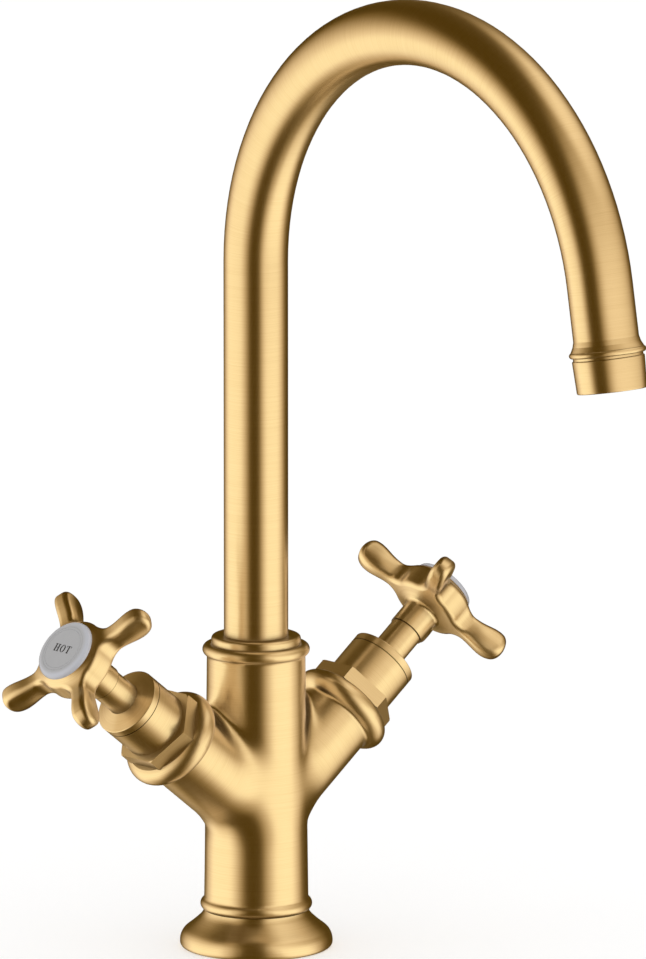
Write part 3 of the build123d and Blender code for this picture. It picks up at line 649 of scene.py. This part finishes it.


# The gold's own colour, and a painted reflection where a reflection sees it: painted shade on close pieces
# and undersides, painted light on far ones
def goldToneAndPaintedReflection(tree, lines, paintedUnderShade):
    shade = ramp(tree, lines, *brushed["deepSpan"], "LINEAR")
    own = mixColour(tree, shade, brushed["deep"], brushed["colour"])
    path = tree.nodes.new("ShaderNodeLightPath")
    # painted shade for gold seen close by in the gold, painted light for gold seen far off
    lit = ramp(tree, path.outputs["Ray Length"], *brushed["reach"])
    if paintedUnderShade:
        clearOfUnderShade = ramp(tree, dotWith(tree, surfaceNormal(tree), upward), *brushed["underShade"])
        lit = calc(tree, "MULTIPLY", lit, clearOfUnderShade)
    paintedReflection = mixColour(tree, lit, brushed["near"], brushed["far"])
    return mixColour(tree, path.outputs["Is Glossy Ray"], own, paintedReflection)


# field is the brushing, second another one where secondMask says, and flow a softer normal; the under-shade
# flag paints shade on undersides where the gold sees them
def brushedGold(name, field, second=None, secondMask=None, jointed=False, flow=None, paintedUnderShade=False):
    material, tree, shader = newMaterial(name)
    place = objectPlace(tree)
    lines, clouds, across, around = brushing(tree, place, field)
    if second:
        mask = secondMask(tree, place)
        secondLines, secondClouds, _, secondAround = brushing(tree, place, second)
        lines = blendValues(tree, mask, lines, secondLines)
        clouds = blendValues(tree, mask, clouds, secondClouds)
        around = blendStreaks(tree, mask, around, secondAround)
    tone = goldToneAndPaintedReflection(tree, lines, paintedUnderShade)
    if jointed:
        lineShade = tree.nodes.new("ShaderNodeGroup")
        lineShade.node_tree = jointShade
        tree.links.new(across, lineShade.inputs["Along"])
        tone = mixColour(tree, lineShade.outputs["Shade"], tone, joints["colour"])
    tree.links.new(tone, shader.inputs["Base Color"])
    rough = calc(tree, "MULTIPLY_ADD", clouds, brushed["roughSpread"], brushed["roughness"])
    tree.links.new(rough, shader.inputs["Roughness"])
    normal = heightToNormal(tree, calc(tree, "MULTIPLY", lines, brushed["lineDepth"]), 1)
    if flow:
        tree.links.new(flow(tree, place), normal.node.inputs["Normal"])
    tree.links.new(normal, shader.inputs["Normal"])
    tree.links.new(around, shader.inputs["Tangent"])
    shader.inputs["Anisotropic"].default_value = brushed["stretch"]
    shader.inputs["Anisotropic Rotation"].default_value = brushed["stretchTurn"]
    shader.inputs["Metallic"].default_value = 1
    return material


def speckleSurface(tree, shader, speckle, look):
    rough = calc(tree, "MULTIPLY_ADD", speckle, look["roughSpread"], look["roughness"])
    tree.links.new(rough, shader.inputs["Roughness"])
    tree.links.new(heightToNormal(tree, speckle, look["depth"]), shader.inputs["Normal"])


# Glaze with a painted highlight: paler and bluer towards the round edge of the disc
glaze = {
    "edge": (0.0086, 0.0104),
    "dark": (0.54, 0.545, 0.56, 1),
    "light": (0.59, 0.592, 0.60, 1),
    # painted highlight on the rounded rim
    "rim": (0.70, 0.71, 0.76, 1),
    "grain": 180,
    "detail": 2,
    "roughness": 0.1,
    "roughSpread": 0.06,
    "depth": 0.00001,
    "coat": 0.4,
    "coatRoughness": 0.05,
}


def porcelain(name, side):
    material, tree, shader = newMaterial(name)
    place = objectPlace(tree)
    around = armField(side)(tree, place)[1]
    # share of the painted rim highlight, growing towards the disc's edge
    rim = ramp(tree, lengthOf(tree, around), *glaze["edge"])
    haze = noise(tree, place, glaze["grain"], glaze["detail"]).outputs["Fac"]
    tone = mixColour(tree, haze, glaze["dark"], glaze["light"])
    tree.links.new(mixColour(tree, rim, tone, glaze["rim"]), shader.inputs["Base Color"])
    speckleSurface(tree, shader, haze, glaze)
    shader.inputs["Coat Weight"].default_value = glaze["coat"]
    shader.inputs["Coat Roughness"].default_value = glaze["coatRoughness"]
    return material


# Inner and lower parts, and the ink of the index discs
plainLooks = {
    "turnedBrass": {
        "light": (0.78, 0.55, 0.25, 1),
        "dark": (0.62, 0.42, 0.17, 1),
        "metallic": 1,
        "roughness": 0.28,
        "grain": 900,
        "depth": 0.000004,
    },
    "stainlessSteel": {
        "light": (0.62, 0.62, 0.61, 1),
        "dark": (0.5, 0.5, 0.49, 1),
        "metallic": 1,
        "roughness": 0.25,
        "grain": 1200,
        "depth": 0.000003,
    },
    "blackRubber": {
        "light": (0.03, 0.03, 0.03, 1),
        "dark": (0.015, 0.015, 0.015, 1),
        "metallic": 0,
        "roughness": 0.6,
        "grain": 1500,
        "depth": 0.00001,
    },
    "paleAcetal": {
        "light": (0.68, 0.68, 0.66, 1),
        "dark": (0.6, 0.6, 0.58, 1),
        "metallic": 0,
        "roughness": 0.35,
        "grain": 1400,
        "depth": 0.000006,
    },
    "aluminaCeramic": {
        "light": (0.85, 0.83, 0.78, 1),
        "dark": (0.78, 0.76, 0.71, 1),
        "metallic": 0,
        "roughness": 0.15,
        "grain": 1600,
        "depth": 0.000002,
    },
    "blackInk": {
        "light": (0.012, 0.012, 0.013, 1),
        "dark": (0.006, 0.006, 0.006, 1),
        "metallic": 0,
        "roughness": 0.35,
        "grain": 2500,
        "depth": 0.000002,
    },
}
plainSpeckle = {"detail": 4, "roughSpread": 0.15}


def plainFinish(name, look):
    material, tree, shader = newMaterial(name)
    speckle = noise(tree, objectPlace(tree), look["grain"], plainSpeckle["detail"]).outputs["Fac"]
    tree.links.new(mixColour(tree, speckle, look["dark"], look["light"]), shader.inputs["Base Color"])
    speckleSurface(tree, shader, speckle, {**plainSpeckle, **look})
    shader.inputs["Metallic"].default_value = look["metallic"]
    return material


plain = {name: plainFinish(name, look) for name, look in plainLooks.items()}
goldUpright = brushedGold("brushedGoldUpright", uprightField)
goldOutlet = brushedGold("brushedGoldOutlet", outletField)

finishes = {
    "base_flange": goldUpright,
    # the body's undersides, seen in the gold, get painted shade
    "body": brushedGold(
        "brushedGoldBody", uprightField, bothArmsField, outOnArm, flow=softMeeting, paintedUnderShade=True
    ),
    "spout_collar": goldUpright,
    "spout_tube": brushedGold("brushedGoldSpout", spoutField),
    "outlet_collar": goldOutlet,
    "aerator_housing": goldOutlet,
    "base_seal": plain["blackRubber"],
    "mounting_stud": plain["stainlessSteel"],
    "deck_gasket": plain["blackRubber"],
    "deck_washer": plain["stainlessSteel"],
    "stud_nut": plain["turnedBrass"],
    "spout_bush": plain["paleAcetal"],
    "spout_spigot": plain["turnedBrass"],
    "spout_orings": plain["blackRubber"],
    "spout_thrust_washer": plain["paleAcetal"],
    "spout_grub_screw": plain["stainlessSteel"],
    "aerator_seal": plain["blackRubber"],
    "aerator_insert": plain["paleAcetal"],
    "aerator_screen": plain["stainlessSteel"],
}
valvePlain = {
    "seat_seal": "blackRubber",
    "fixed_disc": "aluminaCeramic",
    "turning_disc": "aluminaCeramic",
    "spindle": "turnedBrass",
    "spindle_oring": "blackRubber",
    "spindle_circlip": "stainlessSteel",
    "handle_screw": "stainlessSteel",
}
for name, side in arms["sides"].items():
    goldArm = brushedGold(name + "BrushedGoldArm", armField(side), jointed=True)
    goldHandle = brushedGold(
        name + "BrushedGoldHandle", armField(side), jointed=True, flow=paddleRound(side)
    )
    for part in ("valve_body", "bonnet", "gland_cap", "stem_sleeve"):
        finishes[name + "_" + part] = goldArm
    finishes[name + "_handle"] = goldHandle
    finishes[name + "_index_cap"] = porcelain(name + "WhitePorcelain", side)
    for part, finish in valvePlain.items():
        finishes[name + "_" + part] = plain[finish]

for name, material in finishes.items():
    for slot in nodes[name].material_slots:
        slot.link = "OBJECT"
        slot.material = material
print("finishes on", len(finishes), "of", len(nodes), "nodes")

# Index lettering: height, face and thick in metres, and the rest in shares of the height
lettering = {
    "height": 0.00276,
    "face": 0.109,  # the disc's face along the arm
    "thick": 0.00003,
    "gap": 0.17,
    "stem": 0.2,
    "hair": 0.06,
    "serif": 0.12,
    "hang": 0.74,  # where the serifs of a T end
    "stand": 0.28,  # where the serif of an L ends
    "tip": (0.68, 0.74, 0.96),  # bottom, right and top of the serif of a C
    "overshoot": 0.02,  # of a round side past top and bottom
    "stepDegrees": 12,
    "fewestSteps": 8,
    "H": 0.95,
    "O": 0.86,
    "T": 0.86,
    "C": 0.8,
    "L": 0.76,
    "D": 0.88,
}
# Round side of a letter as centre, width, and first and last angle from the right
letterRings = {"O": (0.43, 0.86, 0, 360), "C": (0.43, 0.86, 40, 318), "D": (0.45, 0.86, -90, 90)}
words = {"hot": "HOT", "cold": "COLD"}


def stem(middle):
    half = lettering["stem"] / 2
    foot = half + lettering["serif"]
    hair = lettering["hair"]
    return [
        (middle - half, 0, middle + half, 1),
        (middle - foot, 0, middle + foot, hair),
        (middle - foot, 1 - hair, middle + foot, 1),
    ]


# Bars of a letter as left, bottom, right and top
def letterBars(letter):
    first = lettering["stem"] / 2 + lettering["serif"]
    hair = lettering["hair"]
    width = lettering[letter]
    if letter == "H":
        crossbar = (first, 0.5 - hair / 2, width - first, 0.5 + hair / 2)
        return [*stem(first), *stem(width - first), crossbar]
    if letter == "T":
        serifs = [(0, lettering["hang"], hair, 1), (width - hair, lettering["hang"], width, 1)]
        return [*stem(width / 2)[:2], (0, 1 - hair, width, 1), *serifs]
    if letter == "C":
        bottom, right, top = lettering["tip"]
        return [(right - hair, bottom, right, top)]
    if letter == "L":
        return [*stem(first), (first, 0, width, hair), (width - hair, 0, width, lettering["stand"])]
    if letter == "D":
        bowl = letterRings["D"][0]
        return [*stem(first), (first, 0, bowl, hair), (first, 1 - hair, bowl, 1)]
    return []


def addPrism(work, outline, place):
    size = lettering["height"]
    thick = lettering["thick"]
    low = [work.verts.new(place @ Vector((x * size, y * size, -thick))) for x, y in outline]
    high = [work.verts.new(place @ Vector((x * size, y * size, thick))) for x, y in outline]
    work.faces.new(reversed(low))
    work.faces.new(high)
    for first, second in zip(range(len(outline)), [*range(1, len(outline)), 0]):
        work.faces.new((low[first], low[second], high[second], high[first]))


# A round side is thick where upright and thin at top and bottom
def ringPoint(middle, width, inset, angle):
    across = width / 2 - inset * lettering["stem"]
    up = 0.5 + lettering["overshoot"] - inset * lettering["hair"]
    return middle + across * math.cos(angle), up * math.sin(angle)


def addRing(work, ring, shift, place):
    middle, width, first, last = ring
    steps = max(lettering["fewestSteps"], round(abs(last - first) / lettering["stepDegrees"]))
    angles = [math.radians(first + (last - first) * step / steps) for step in range(steps + 1)]
    for start, end in zip(angles, angles[1:]):
        corners = ((0, start), (0, end), (1, end), (1, start))
        outline = [ringPoint(middle, width, *corner) for corner in corners]
        addPrism(work, [(x + shift, y) for x, y in outline], place)


def addLettering(name, side, ink):
    word = words[name]
    total = sum(lettering[letter] for letter in word) + lettering["gap"] * (len(word) - 1)
    axis = armAxis(side)
    across = Vector((0, side, 0))
    middle = arms["root"] + axis * lettering["face"]
    turn = Matrix((across, axis.cross(across), axis)).transposed().to_4x4()
    place = Matrix.Translation(middle) @ turn
    work = bmesh.new()
    shift = -total / 2
    for letter in word:
        for left, bottom, right, top in letterBars(letter):
            corners = [(left, bottom), (right, bottom), (right, top), (left, top)]
            addPrism(work, [(x + shift, y - 0.5) for x, y in corners], place)
        if letter in letterRings:
            addRing(work, letterRings[letter], shift, place)
        shift += lettering[letter] + lettering["gap"]
    bmesh.ops.recalc_face_normals(work, faces=work.faces)
    mesh = bpy.data.meshes.new(name + "Lettering")
    work.to_mesh(mesh)
    work.free()
    mesh.materials.append(ink)
    letters = addObject(name + "_lettering", mesh)
    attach(letters, nodes[name + "_index_cap"]["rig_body"])


for name, side in arms["sides"].items():
    addLettering(name, side, plain["blackInk"])
print("lettering on", len(words), "index caps")
